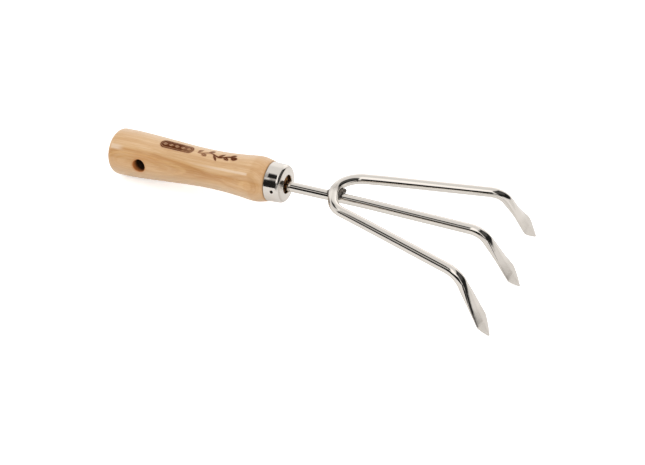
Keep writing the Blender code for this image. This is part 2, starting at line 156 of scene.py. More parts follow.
def bridge(bm, start, end, steps):
    """Straight wall between two rings."""
    last = start
    for k in range(1, steps):
        t = k / steps
        new = [bm.verts.new(p.co * (1 - t) + q.co * t) for p, q in zip(start, end)]
        join_rings(bm, last, new)
        last = new
    join_rings(bm, last, end)


def arc_points(centre_x, centre_r, radius, start, end, steps):
    """(x, r) points on an arc; angles from +x towards +r, in degrees."""
    angles = [math.radians(start + (end - start) * i / steps) for i in range(steps + 1)]
    return [(centre_x + radius * math.cos(a), centre_r + radius * math.sin(a)) for a in angles]


# ---------------------------------------------------------------- turned pieces
def radial_dirs(tilt):
    """Direction of a hole's axis (away from the handle's axis, on the -Y side) and the tangent across it."""
    angle = math.radians(tilt)
    out = Vector((0.0, -math.cos(angle), math.sin(angle)))
    return out, Vector((1.0, 0.0, 0.0)).cross(out)


def spin(bm, profile, count, out, tangent, openings):
    """Rings of count points for a profile of (x, radius), starting at the direction out.
    An opening (first ring, last ring, middle column, half its columns) is left without faces."""
    grid = []
    for x, radius in profile:
        if radius < 1e-6:
            grid.append([bm.verts.new((x * MM, 0.0, 0.0))] * count)
            continue
        ring = []
        for j in range(count):
            angle = math.tau * j / count
            d = out * math.cos(angle) + tangent * math.sin(angle)
            ring.append(bm.verts.new((x * MM, d.y * radius * MM, d.z * radius * MM)))
        grid.append(ring)
    for i in range(len(profile) - 1):
        for j in range(count):
            if not any(first <= i < last and ((j - middle + half) % count) < 2 * half
                       for first, last, middle, half in openings):
                join_cell(bm, grid[i], grid[i + 1], j)
    return grid


def opening_border(first, last, half):
    """The border of an opening, in order, as (ring, column offset)."""
    border = [(first, j) for j in range(-half, half)]
    border += [(i, half) for i in range(first, last)]
    border += [(last, j) for j in range(half, -half, -1)]
    return border + [(i, -half) for i in range(last, first, -1)]


def hole_patch(bm, grid, opening, centre_x, radius_of, out, tangent, hole_r, fillet,
               side=1, rings=5, rim_steps=8):
    """Fills an opening with rings that close in on a round hole, and returns the last ring.
    side is +1 on the out side, -1 opposite. The rim rounds inwards, or outwards if fillet < 0."""
    first, last, middle, half = opening
    current = [grid[i][(middle + j * side) % len(grid[0])]
               for i, j in opening_border(first, last, half)]
    flat = []                          # border points as (x from the centre, distance across)
    for v in current:
        p = v.co / MM
        flat.append((p.x - centre_x, p.dot(tangent)))
    width = abs(fillet)
    sign = 1.0 if fillet >= 0 else -1.0
    angles = [math.atan2(t, u) for u, t in flat]

    def circle(radius):
        return [(radius * math.cos(a), radius * math.sin(a)) for a in angles]

    def add_ring(points, drop):
        ring = []
        for u, t in points:
            r = radius_of(centre_x + u)
            height = math.sqrt(max(0.0, r * r - t * t)) - sign * drop
            p = out * (side * height) + tangent * t
            ring.append(bm.verts.new(((centre_x + u) * MM, p.y * MM, p.z * MM)))
        join_rings(bm, current, ring)
        return ring

    rim = circle(hole_r + width)
    for k in range(1, rings + 1):
        s = 1.0 - (1.0 - k / rings) ** 1.5
        current = add_ring([(u * (1 - s) + rim_u * s, t * (1 - s) + rim_t * s)
                            for (u, t), (rim_u, rim_t) in zip(flat, rim)], 0.0)
    for k in range(1, rim_steps + 1):
        turn = math.pi / 2 * k / rim_steps
        current = add_ring(circle(hole_r + width * (1 - math.sin(turn))),
                           width * (1 - math.cos(turn)))
    return current


def handle_profile():
    """Outline from butt to spigot, the rings that bound the hanging hole, and the tang's bore."""
    profile = [(0.0, r) for r in BUTT_FACE_RADII]
    profile += arc_points(BUTT_FILLET, STATIONS[0][1] - BUTT_FILLET, BUTT_FILLET, 180.0, 90.0, 12)
    profile += [(x, handle_radius(x)) for x in range(6, 17, 2)]
    first = len(profile)
    profile += [(x, handle_radius(x)) for x in range(18, 37)]
    last = len(profile) - 1
    x, end = 38.0, WOOD_END - 0.6
    while x < end - 0.8:
        profile.append((x, handle_radius(x)))
        x += 1.6 if x < 104 else 0.9
    shoulder = min(WOOD_END + 0.1, FERRULE_BACK - 0.25)
    end_r = handle_radius(end)
    front_r = FERRULE_R_FRONT - FERRULE_WALL
    profile += [
        (end, end_r), (end + 0.35, end_r - 0.20), (shoulder - 0.12, end_r - 0.45),
        (shoulder, end_r - 0.80), (shoulder, FERRULE_R_BACK - FERRULE_WALL - SPIGOT_GAP),
        (SPIGOT_END - 0.8, front_r - SPIGOT_GAP), (SPIGOT_END - 0.2, front_r - 0.7),
        (SPIGOT_END, front_r - 1.1), (SPIGOT_END, 9.0), (SPIGOT_END, 7.5)]
    bottom = HANDLE_L - TANG_L - 2.0
    bore = [(SPIGOT_END, 5.2), (SPIGOT_END - 0.1, 4.7), (SPIGOT_END - 0.5, 4.2),
            (SPIGOT_END - 1.5, ROD_R + 0.4), (bottom, ROD_R + 0.35), (bottom, 0.0)]
    return profile, (first, last), bore


def build_handle():
    count, half = 144, 12
    out, tangent = radial_dirs(HANG_TILT)
    profile, (first, last), bore = handle_profile()
    openings = [(first, last, middle, half) for middle in (0, count // 2)]
    bm = bmesh.new()
    grid = spin(bm, profile + bore, count, out, tangent, openings)
    rims = [hole_patch(bm, grid, opening, HANG_X, handle_radius, out, tangent, HANG_R, HANG_FILLET,
                       side=side) for opening, side in zip(openings, (1, -1))]
    bridge(bm, rims[0], rims[1], 16)
    drop = TANG_DROP * math.cos(math.radians(HEAD_PITCH)) * MM      # the bore lies below the axis
    for ring in grid[len(profile):]:
        for v in set(ring):
            v.co.z -= drop
    return make_object("ash_handle", bm)


def ferrule_outer(x):
    taper_l = FERRULE_FACE - FERRULE_LIP - FERRULE_BACK
    return FERRULE_R_BACK + (FERRULE_R_FRONT - FERRULE_R_BACK) * (x - FERRULE_BACK) / taper_l


def ferrule_inner(x):
    return ferrule_outer(x) - FERRULE_WALL


def ferrule_face(r):
    """x of the front face: flat at the lip, gently raised at the hole."""
    return FERRULE_FACE + FERRULE_DOME * (1.0 - smoothstep(6.2, 10.3, r))


def ferrule_profile(nail_xs):
    """Closed outline from the inner wall over the face to the outer wall, and the outer wall's first ring."""
    back = FERRULE_BACK
    nose = FERRULE_FACE + FERRULE_DOME
    lip_x = FERRULE_FACE - FERRULE_LIP
    inner_lip = FERRULE_LIP - FERRULE_WALL
    profile = [(x, ferrule_inner(x)) for x in nail_xs]
    profile += arc_points(lip_x, ferrule_inner(lip_x) - inner_lip, inner_lip, 90.0, 0.0, 6)
    profile += [(ferrule_face(r) - FERRULE_WALL, r) for r in (9.9, 9.0, 8.0, FERRULE_HOLE_R + 0.45)]
    profile += arc_points(nose - FERRULE_WALL + 0.3, FERRULE_HOLE_R + 0.3, 0.3, 180.0, 270.0, 3)
    profile += arc_points(nose - 0.45, FERRULE_HOLE_R + 0.45, 0.45, 270.0, 360.0, 6)
    profile += [(ferrule_face(r), r) for r in (7.2, 7.5, 7.9, 8.3, 8.7, 9.1, 9.5, 9.8, 10.05)]
    profile += arc_points(lip_x, FERRULE_R_FRONT - FERRULE_LIP, FERRULE_LIP, 0.0, 90.0, 16)
    outer_first = len(profile)
    profile += [(x, ferrule_outer(x)) for x in reversed(nail_xs)]
    profile += [(back + t, ferrule_outer(back + t)) for t in (3.6, 2.6, 1.7, 1.0, 0.6)]
    profile += [(back + t, ferrule_outer(back) - inset)
                for t, inset in ((0.32, 0.03), (0.12, 0.12), (0.0, 0.32))]
    profile += [(back, ferrule_inner(back) + 0.2), (back + 0.2, ferrule_inner(back))]
    profile += [(back + t, ferrule_inner(back + t)) for t in (1.5, 3.2)]
    return profile + [profile[0]], outer_first


def build_ferrule():
    count, half = 192, 9
    out, tangent = radial_dirs(PIN_TILT)
    nail_xs = [PIN_X - 1.9 + 3.8 * k / 12 for k in range(13)]
    cells = len(nail_xs) - 1
    profile, outer_first = ferrule_profile(nail_xs)
    openings = [(first, first + cells, 0, half) for first in (0, outer_first)]
    bm = bmesh.new()
    grid = spin(bm, profile, count, out, tangent, openings)

    def around_hole(v):
        p = v.co / MM
        return math.atan2(p.dot(tangent), p.x - PIN_X)

    rims = []
    for opening, radius_of, fillet in zip(openings, (ferrule_inner, ferrule_outer), (-0.12, 0.22)):
        rim = hole_patch(bm, grid, opening, PIN_X, radius_of, out, tangent, PIN_HOLE_R, fillet,
                         rings=4)
        rims.append(sorted(rim, key=around_hole))      # so both rims run the same way
    bridge(bm, rims[1], rims[0], 3)
    bmesh.ops.remove_doubles(bm, verts=bm.verts[:], dist=1e-7)
    return make_object("steel_ferrule", bm)


def build_pin():
    """Nail with a domed head and a pointed shank."""
    count = 28
    out, tangent = radial_dirs(PIN_TILT)
    head = FERRULE_R_FRONT - 0.55
    # depth below the head's top, radius
    profile = [(0.04, 0.0), (0.0, PIN_HEAD_R * 0.35), (0.03, PIN_HEAD_R * 0.7),
               (0.12, PIN_HEAD_R * 0.92), (0.3, PIN_HEAD_R), (0.8, PIN_HEAD_R), (0.95, 0.56),
               (1.1, PIN_SHANK_R), (5.2, PIN_SHANK_R), (6.4, 0.06), (6.5, 0.0)]
    bm = bmesh.new()
    rings = []
    for depth, r in profile:
        base = Vector((PIN_X, 0.0, 0.0)) + out * (head - depth)
        if r == 0.0:
            rings.append([bm.verts.new(base * MM)] * count)
            continue
        angles = [math.tau * j / count for j in range(count)]
        rings.append([bm.verts.new((base + Vector((r * math.cos(a), 0.0, 0.0))
                                    + tangent * (r * math.sin(a))) * MM) for a in angles])
    for ring, following in zip(rings, rings[1:]):
        join_rings(bm, ring, following)
    return make_object("ferrule_nail", bm)


# ---------------------------------------------------------------- bars and forged blades
def head_to_part(p):
    """From the head's axes, pitched at the end of the handle, to the rake's."""
    pitch = math.radians(HEAD_PITCH)
    return Vector((HANDLE_L + p.x * math.cos(pitch) + p.z * math.sin(pitch), p.y,
                   -p.x * math.sin(pitch) + p.z * math.cos(pitch)))


def fillet_corner(before, corner, after, radius, steps):
    u, v = (before - corner).normalized(), (after - corner).normalized()
    half = 0.5 * u.angle(v)
    start = corner + u * (radius / math.tan(half))
    end = corner + v * (radius / math.tan(half))
    centre = corner + (u + v).normalized() * (radius / math.sin(half))
    arm, end_arm = start - centre, end - centre
    angle, axis = arm.angle(end_arm), arm.cross(end_arm).normalized()
    return [centre + Matrix.Rotation(angle * i / steps, 3, axis) @ arm for i in range(steps + 1)]


def tine_tip(corner, heading, bend, length):
    """End of a tine that leaves the corner, bent down from level; angles in radians."""
    return corner + Vector((math.cos(heading) * math.cos(bend), math.sin(heading) * math.cos(bend),
                            -math.sin(bend))) * length


def blade_length(tine_l, bend):
    return tine_l - BEND_R * math.tan(math.radians(bend) / 2) + 1.0


def leg_height(s, pitch):
    """Height of a leg s mm along it: level round the U, then falling at the pitch."""
    blend = 8.0
    x = s / blend
    soft = blend * (math.log1p(math.exp(-abs(x))) + max(x, 0.0))
    return U_RISE - math.tan(math.radians(pitch)) * soft


def blade_half_width(d, blade_l, point):
    """Half width d mm from the tip; point is how long the pointed end is."""
    half_w = 0.5 * BLADE_W
    if d <= point:
        return BLADE_TIP_HALF_W + (half_w - BLADE_TIP_HALF_W) * (1.0 - (1.0 - d / point) ** 1.2)
    t = min(1.0, (d - point) / (blade_l - point)) ** 1.1
    return half_w + (ROD_R - half_w) * t


def bar_section(d, blade_l, side):
    """(across, up) outline d mm from the tip: a ridged blade that becomes the round rod."""
    angles = [math.tau * (i + 0.5) / BAR_SIDES for i in range(BAR_SIDES)]
    if d >= blade_l:
        return [(ROD_R * math.cos(a), ROD_R * math.sin(a)) for a in angles]
    flatness = 1.0 - smoothstep(BLADE_POINT_L * 0.9, blade_l, d)
    widths = {sign: blade_half_width(d, blade_l, BLADE_POINT_L + sign * side * BLADE_SKEW)
              for sign in (1, -1)}
    thin = 0.45 + 0.55 * min(1.0, d / BLADE_POINT_L)
    edge = BLADE_EDGE * (0.5 + 0.5 * min(1.0, d / 3.0))
    section = []
    for a in angles:
        c, s = math.cos(a), math.sin(a)
        soft = math.sqrt(c * c + RIDGE_SOFTNESS)
        inward = max(0.0, 1.0 - soft) / (1.0 - math.sqrt(RIDGE_SOFTNESS))
        rim = min(1.0, (1.0 - abs(c)) / 0.035) ** 0.5
        if s > 0:
            up = edge * rim + (BLADE_RIDGE * thin - edge) * inward
        else:
            up = -(edge * rim + (BLADE_BACK * thin - edge) * inward ** 0.7)
        section.append((widths[1 if c > 0.0 else -1] * c,
                        (1.0 - flatness) * ROD_R * s + flatness * up))
    return section


def densify(points, step):
    """Extra points on long straight runs, so reflections stay even."""
    dense = [points[0]]
    for start, end in zip(points, points[1:]):
        pieces = max(1, int(math.ceil((end - start).length / step)))
        dense += [start.lerp(end, i / pieces) for i in range(1, pieces + 1)]
    return dense


def blade_run(path):
    """Divides the path's last straight, finest at the tip."""
    tip, back = path[-1], (path[-2] - path[-1]).normalized()
    length = (path[-2] - path[-1]).length
    distances = [0.0, 0.15, 0.4, 0.8]
    distances += [1.3 + 0.6 * i for i in range(int((BLADE_POINT_L + 3.0) / 0.6))]
    d = distances[-1] + BLADE_STEP
    while d < length - 0.4 * BLADE_STEP:
        distances.append(d)
        d += BLADE_STEP
    return path[:-1] + [tip + back * q for q in sorted(distances, reverse=True)]


def sweep(name, path, blade_l, end_twist, start_twist=None):
    """Bar along the path with a blade at its end, and one at its start if that has a twist."""
    run = [0.0]
    for start, end in zip(path, path[1:]):
        run.append(run[-1] + (end - start).length)
    bm = bmesh.new()
    rings = []
    last = len(path) - 1
    for i, p in enumerate(path):
        ahead, behind = path[min(i + 1, last)] - p, p - path[max(i - 1, 0)]
        tangent = (ahead.normalized() + behind.normalized()).normalized()
        across = Vector((0.0, 0.0, 1.0)).cross(tangent).normalized()
        up = tangent.cross(across).normalized()
        d, side, twist = run[-1] - run[i], 1.0, end_twist
        if start_twist is not None and run[i] <= d:
            d, side, twist = run[i], -1.0, start_twist
        turn = math.radians(twist) * (1.0 - smoothstep(BLADE_POINT_L, blade_l, d))
        across, up = (across * math.cos(turn) + up * math.sin(turn),
                      up * math.cos(turn) - across * math.sin(turn))
        rings.append([bm.verts.new(head_to_part(p + across * x + up * y) * MM)
                      for x, y in bar_section(d, blade_l, side)])
    for ring, following in zip(rings, rings[1:]):
        join_rings(bm, ring, following)
    for ring in (rings[0], rings[-1]):
        middle = bm.verts.new(sum((v.co for v in ring), Vector()) / len(ring))
        for j in range(BAR_SIDES):
            bm.faces.new((ring[j], ring[(j + 1) % BAR_SIDES], middle))
    return make_object(name, bm)


def build_centre_bar():
    pitch = math.radians(HEAD_PITCH)
    tang_end = Vector((-TANG_L * math.cos(pitch), 0.0, -TANG_L * math.sin(pitch) - TANG_DROP))
    level = Vector((SHANK_END_X, 0.0, 0.0))
    points = [tang_end]
    points += fillet_corner(tang_end, Vector((0.0, 0.0, -TANG_DROP)), level, SHANK_BEND_R, 6)
    points += fillet_corner(points[-1], level, Vector((100.0, 0.0, 0.0)), SHANK_BEND_R, 6)
    corner = Vector((CENTRE_BEND_X, 0.0, 0.0))
    tip = tine_tip(corner, math.radians(TINE_YAW[0]), math.radians(CENTRE_BEND_ANGLE), CENTRE_TINE_L)
    points += fillet_corner(Vector((0.0, 0.0, 0.0)), corner, tip, BEND_R, BEND_STEPS)
    return sweep("centre_tine_bar", blade_run(densify(points, 4.0) + [tip]),
                 blade_length(CENTRE_TINE_L, CENTRE_BEND_ANGLE), BLADE_TWIST[0])


def u_nip(s):
    """How far the hand-bent U lies inside a true circle, s mm from the apex towards +Y."""
    return 1.35 * math.exp(-((s + 7.0) / 8.5) ** 2)


def outer_half(side):
    """Half of the U-shaped bar, from its apex to the tip of one tine."""
    pitch, leg_l, tine_l = LEG_SETS[side]
    spread = math.radians(LEG_SPREAD)
    half = []
    steps = 40
    centre = Vector((U_APEX_X + U_R, 0.0, 0.0))
    sweep_angle = math.pi / 2 - spread
    for i in range(steps + 1):
        angle = math.pi - sweep_angle * i / steps
        s = -U_R * sweep_angle * (1.0 - i / steps)
        r = U_R - u_nip(side * (s + U_R * sweep_angle))
        half.append(centre + Vector((r * math.cos(angle), r * math.sin(angle), leg_height(s, pitch))))
    start = centre + Vector((-U_R * math.sin(spread), U_R * math.cos(spread), 0.0))
    out = Vector((math.cos(spread), math.sin(spread), 0.0))
    s = 1.5
    while s < 72.0:
        half.append(start + out * s + Vector((0.0, 0.0, leg_height(s, pitch))))
        s += 1.5 if s < 36 else 4.0
    level = leg_l * math.cos(math.radians(pitch))
    corner = start + out * level + Vector((0.0, 0.0, leg_height(level, pitch)))
    tip = tine_tip(corner, spread + math.radians(TINE_YAW[side]), math.radians(OUTER_BEND_ANGLE),
                   tine_l)
    half += fillet_corner(half[-1], corner, tip, BEND_R, BEND_STEPS)
    return [Vector((p.x, side * p.y, p.z)) for p in blade_run(half + [tip])]


def build_outer_bar():
    far, near = outer_half(1), outer_half(-1)
    return sweep("outer_tine_bar", list(reversed(near[1:])) + far,
                 blade_length(OUTER_TINE_L, OUTER_BEND_ANGLE), BLADE_TWIST[1], BLADE_TWIST[-1])


def lump(x, y, z):
    """Smooth, repeatable unevenness in -1..1."""
    return (math.sin(1.9 * x + 0.7 * y + 0.3) * math.cos(2.3 * y - 0.9 * z + 1.1)
            + 0.5 * math.sin(4.1 * z + 2.7 * x + 0.5) + 0.35 * math.sin(6.3 * y + 5.1 * x)) / 1.85


def build_weld(name, centre, radii, hug, seed):
    """A lumpy fillet bent to follow the U; hug is the radius it bends to."""
    bm = bmesh.new()
    bmesh.ops.create_icosphere(bm, subdivisions=6, radius=1.0)
    for v in bm.verts:
        d = v.co.copy()
        swell = (1.0 + 0.07 * lump(2.6 * d.x + seed, 5.2 * d.y - seed, 2.6 * d.z)
                 + 0.05 * math.sin(9.0 * d.y + 2.0 * d.z + seed))
        local = Vector((d.x * radii[0] * swell, d.y * radii[1], d.z * radii[2] * swell))
        local += Vector(centre)
        local.x += 0.5 * local.y * local.y / hug
        v.co = head_to_part(local) * MM
    return make_object(name, bm)


handle = piece(build_handle(), "handle")
ferrule = piece(build_ferrule(), "ferrule")
nail = piece(build_pin(), "ferrule_pin")
centre_bar = piece(build_centre_bar(), "centre_tine_rod")
outer_bar = piece(build_outer_bar(), "outer_tine_rod")
weld_in = piece(build_weld("weld_bead_inside", centre=(U_APEX_X + 4.4, 0.8, 2.2),
                           radii=(2.7, 5.8, 2.6), hug=U_R - ROD_R, seed=0.7),
                "weld_bead_inner")
weld_out = piece(build_weld("weld_bead_outside", centre=(U_APEX_X - 3.0, 0.0, 2.5),
                            radii=(1.6, 3.3, 1.8), hug=U_R + ROD_R, seed=2.1),
                 "weld_bead_outer")


# ---------------------------------------------------------------- stage
def coordinates(obj):
    return np.array([v.co for v in obj.data.vertices])


def build_floor():
    """A pitched floor that touches the butt's rim and the lowest tine tip, found by bisection."""
    butt = coordinates(handle)
    tines = np.concatenate([coordinates(centre_bar), coordinates(outer_bar)])
    low, high = math.radians(-5.0), math.radians(20.0)
    for _ in range(40):
        pitch = 0.5 * (low + high)
        normal = np.array([math.sin(pitch), 0.0, math.cos(pitch)])
        if (tines @ normal).min() < (butt @ normal).min():
            low = pitch
        else:
            high = pitch
    gap = 0.0001
    level = min((butt @ normal).min(), (tines @ normal).min()) - gap
    bm = bmesh.new()
    bmesh.ops.create_grid(bm, x_segments=1, y_segments=1, size=12.0)
    mesh = bpy.data.meshes.new("studio_floor")
    bm.to_mesh(mesh)
    bm.free()
    obj = bpy.data.objects.new("studio_floor", mesh)
    bpy.context.scene.collection.objects.link(obj)
    obj.rotation_euler = (0.0, pitch, 0.0)
    obj.location = Vector(normal * level)
    return obj


floor = build_floor()


# ---------------------------------------------------------------- node arithmetic
class Net:
    """A node tree that is written as arithmetic. base is the colour painted so far."""

    def __init__(self, tree):
        self.tree = tree
        self.base = None

    def node(self, kind, inputs=None, **settings):
        n = self.tree.nodes.new(kind)
        for key, value in settings.items():
            setattr(n, key, value)
        self.fill(n, inputs or {})
        return n

    def fill(self, node, inputs):
        for key, value in inputs.items():
            self.put(node.inputs[key], value)

    def put(self, socket, value):
        if isinstance(value, Value):
            value = value.socket
        if isinstance(value, bpy.types.NodeSocket):
            self.tree.links.new(value, socket)
        elif isinstance(value, (tuple, list)) and len(value) == 3 and socket.type == "RGBA":
            socket.default_value = (*value, 1.0)
        else:
            socket.default_value = value

    def math(self, op, *args, clamp=False):
        n = self.node("ShaderNodeMath", dict(enumerate(args)), operation=op, use_clamp=clamp)
        return Value(self, n.outputs[0])

    def split(self, socket):
        return [Value(self, o) for o in self.node("ShaderNodeSeparateXYZ", {0: socket}).outputs]

    def noise(self, x, y, z, detail=2.0, rough=0.5):
        """Noise around 0, roughly -1..1."""
        place = self.node("ShaderNodeCombineXYZ", {0: x, 1: y, 2: z}).outputs[0]
        n = self.node("ShaderNodeTexNoise", {"Vector": place, "Scale": 1.0, "Detail": detail,
                                             "Roughness": rough}, noise_dimensions="3D")
        return (Value(self, n.outputs[0]) - 0.5) * 2.0

    def grain(self, along, across, detail=2.0, rough=0.5, shift=0.0):
        """Noise at one scale along X and another across it; shift moves it along X."""
        x = self.x * along
        if shift:
            x = x + shift
        return self.noise(x, self.y * across, self.z * across, detail, rough)

    def mix(self, fac, first, second, blend="MIX"):
        n = self.node("ShaderNodeMix", {0: fac}, data_type="RGBA", blend_type=blend,
                      clamp_factor=True)
        colours = [i for i in n.inputs if i.type == "RGBA"]
        self.put(colours[0], first)
        self.put(colours[1], second)
        return [o for o in n.outputs if o.type == "RGBA"][0]

    def paint(self, amount, colour, blend="MIX"):
        """Lays a colour over the base."""
        self.base = self.mix(amount, self.base, colour, blend)

    def grey(self, value):
        return self.node("ShaderNodeCombineColor", {0: value, 1: value, 2: value}).outputs[0]

    def bump(self, height_mm, strength):
        return self.node("ShaderNodeBump", {"Strength": strength, "Distance": MM,
                                            "Height": height_mm}).outputs[0]


def forward(op):
    return lambda self, *others: self.net.math(op, self, *others)


def swapped(op):
    return lambda self, other: self.net.math(op, other, self)


class Value:
    """A socket in a Net; its operators and methods add nodes."""

    def __init__(self, net, socket):
        self.net, self.socket = net, socket

    __add__, __radd__ = forward("ADD"), swapped("ADD")
    __sub__, __rsub__ = forward("SUBTRACT"), swapped("SUBTRACT")
    __mul__, __rmul__ = forward("MULTIPLY"), swapped("MULTIPLY")
    __truediv__ = forward("DIVIDE")
    max, min = forward("MAXIMUM"), forward("MINIMUM")
    abs, sqrt, sin = forward("ABSOLUTE"), forward("SQRT"), forward("SINE")
    fract, floor = forward("FRACT"), forward("FLOOR")

    def __neg__(self):
        return self * -1.0

    def clamp(self):
        return self.net.math("ADD", self, 0.0, clamp=True)

    def step(self, start, end):
        """Smooth step from 0 at start to 1 at end (end may be below start)."""
        low, high = (0.0, 1.0) if end >= start else (1.0, 0.0)
        n = self.net.node("ShaderNodeMapRange", {
            "Value": self, "From Min": min(start, end), "From Max": max(start, end),
            "To Min": low, "To Max": high}, interpolation_type="SMOOTHSTEP")
        return Value(self.net, n.outputs[0])

    def window(self, foot, top, top_end, foot_end, times=None):
        """Rises from foot to top, falls from top_end to foot_end; times is a factor put first."""
        rise = self.step(foot, top)
        if times is not None:
            rise = times * rise
        return rise * self.step(foot_end, top_end)


def material(name):
    """The Net of a new material, with its shader and its coordinates in millimetres."""
    mat = bpy.data.materials.new(name)
    mat.use_nodes = True
    net = Net(mat.node_tree)
    net.mat = mat
    net.bsdf = mat.node_tree.nodes["Principled BSDF"]
    coord = net.node("ShaderNodeTexCoord")
    net.x, net.y, net.z = (axis * 1000.0 for axis in net.split(coord.outputs["Object"]))
    return net


# ---------------------------------------------------------------- ash: colours are linear RGB
def leaf(along, across, length, width):
    """Distance outside a pointed leaf centred at 0: two arcs that cross."""
    half_l, half_w = 0.5 * length, 0.5 * width
    radius = (half_l * half_l + half_w * half_w) / (2.0 * half_w)
    offset = radius - half_w
    one = (along * along + (across - offset) * (across - offset)).sqrt() - radius
    other = (along * along + (across + offset) * (across + offset)).sqrt() - radius
    return one.max(other)


def burnt_oval(along, across, wobble):
    """Distance outside a capsule-shaped rim and the burnt ground round a row of leaves."""
    middle, straight, radius, cell_l = 52.1, 9.4, 3.55, 4.7
    past = ((along - middle).abs() - straight).max(0.0)
    d = (past * past + across * across).sqrt() - radius + wobble
    rim = (d + 0.36).abs() - 0.36
    ground = d + 1.02
    cell = ((along - middle) / cell_l + 0.5).fract() * cell_l - 0.5 * cell_l
    inner = leaf(cell, across, length=3.7, width=2.0)
    vein = (across.abs() - 0.20).max(cell.abs() - 1.4)
    return rim.min(ground.max(-(inner.max(-vein))))


def burnt_twig(s, across, wobble):
    """Distance outside a wavy stem with leaves on alternate sides, s mm along it."""
    inside = s.window(0.0, 1.5, 31.0, 32.4)
    wave = (s * 0.40 + 0.4).sin() * 1.05 + s.step(8.0, 22.0) * 0.95
    stem = (across - wave).abs() - (0.24 + s * 0.016)
    pitch, lean = 4.4, math.radians(38.0)
    flip = (((s / pitch).floor() * 0.5).fract() - 0.25) * 4.0      # -1, +1 in turn
    cell_u = (s / pitch).fract() * pitch - 0.5 * pitch
    cell_v = (across - wave) * flip - 1.85
    leaf_u = cell_u * math.cos(lean) + cell_v * math.sin(lean)
    leaf_v = cell_v * math.cos(lean) - cell_u * math.sin(lean)
    leaves = leaf(leaf_u, leaf_v, length=5.7, width=1.95)
    vein = leaf_v.abs() - 0.09
    return stem.min(leaves.max(-vein)) + wobble * 0.6 + (1.0 - inside) * 4.0


def burnt_ornament(net, angle):
    """Scorched oval, twig and bud along the handle. Returns the scorch and its halo, 0..1."""
    along, across = net.x, angle * 14.3 - 0.75
    wobble = net.noise(along * 0.9, across * 0.9, 3.0, detail=2.0) * 0.18
    oval = burnt_oval(along, across, wobble)
    s = along - 67.6
    twig = burnt_twig(s, across, wobble)
    bud = leaf(s - 30.0, across - 1.1, length=5.0, width=3.2)
    distance = oval.min(twig).min(bud)
    # the scorch is fainter at the twig's start and round the oval's +X end
    uneven = 0.84 + 0.22 * net.noise(along * 0.35, across * 0.5, 9.0, detail=3.0)
    uneven = uneven * (1.0 - s.window(-2.0, 0.0, 6.0, 16.0, times=0.38))
    uneven = uneven * (1.0 - along.window(54.5, 59.0, 63.0, 66.0, times=0.22))
    return distance.step(0.34, -0.22) * uneven, distance.step(1.1, -0.1)


def ash_grain(net):
    """Growth rings, fibres and pores. The pith lies far behind the +Z/-Y side."""
    x, y, z = net.x, net.y, net.z
    side = math.radians(76.0)
    sin_side, cos_side = math.sin(side), math.cos(side)
    pith, bulge, ring_w = 52.0, 1.75, 0.66
    toward, across = z * cos_side - y * sin_side, y * cos_side + z * sin_side
    slow = net.grain(along=0.024, across=0.05) * 0.55
    mid = net.grain(along=0.060, across=0.24, detail=3.0, rough=0.55, shift=7.0) * 0.22
    belly = (x - 63.0) / 52.0
    depth = ((toward + pith) * (toward + pith) + across * across).sqrt() - pith + bulge
    depth = depth - belly * belly * bulge + slow + mid
    ring = depth / ring_w
    phase = (ring + net.noise(x * 0.05, y * 0.9, z * 0.9, detail=3.0) * 0.12).fract()
    late = phase.window(0.20, 0.80, 0.84, 1.0)
    per_ring = net.noise(ring.floor() * 0.37, 2.0, 5.0, detail=0.0) * 0.9 + 0.55
    late = (late * per_ring).clamp()
    bands = net.noise(depth * 0.62 + 1.7, 3.1, x * 0.004, detail=3.0, rough=0.65)
    fibre = net.grain(along=0.030, across=2.1, detail=4.0, rough=0.62)
    fine = net.grain(along=0.10, across=6.0, detail=3.0, rough=0.6, shift=31.0)
    broad = net.grain(along=0.011, across=0.85, detail=3.0, rough=0.6, shift=5.0)
    pore_noise = net.grain(along=0.20, across=5.0, detail=1.0, rough=0.4, shift=11.0)
    pore = pore_noise.step(0.34, 0.60) * (1.0 - late * 0.7)
    return SimpleNamespace(depth=depth, late=late, bands=bands, fibre=fibre, fine=fine,
                           broad=broad, pore=pore)


def paint_ground(net, wood):
    """Base wood: late growth darker, fine fibres paler, broad clouds both ways."""
    late, bands, fibre, broad = wood.late, wood.bands, wood.fibre, wood.broad
    cloud = net.noise(net.x * 0.022 + 3.0, net.y * 0.045, net.z * 0.045, detail=2.0, rough=0.5)
    net.base = net.mix((late * 0.50 + bands * 0.75 + fibre * 0.30 + broad * 0.50 + 0.12).clamp(),
                       (0.650, 0.415, 0.210), (0.520, 0.285, 0.112))
    net.paint((late * fibre * 0.35 + late * 0.14 + bands * 0.20).clamp(),
              colour=(0.390, 0.180, 0.055))
    net.paint((wood.fine * 0.30 + 0.04).clamp(), colour=(0.720, 0.520, 0.315))
    net.paint((-broad * 0.60 - bands * 0.45).clamp(), colour=(0.740, 0.530, 0.335))
    net.paint((cloud * 0.45).clamp(), colour=(0.510, 0.275, 0.108))
    net.paint((-cloud * 0.30).clamp(), colour=(0.690, 0.470, 0.275))
    net.paint(wood.pore * 0.48, colour=(0.320, 0.150, 0.052))


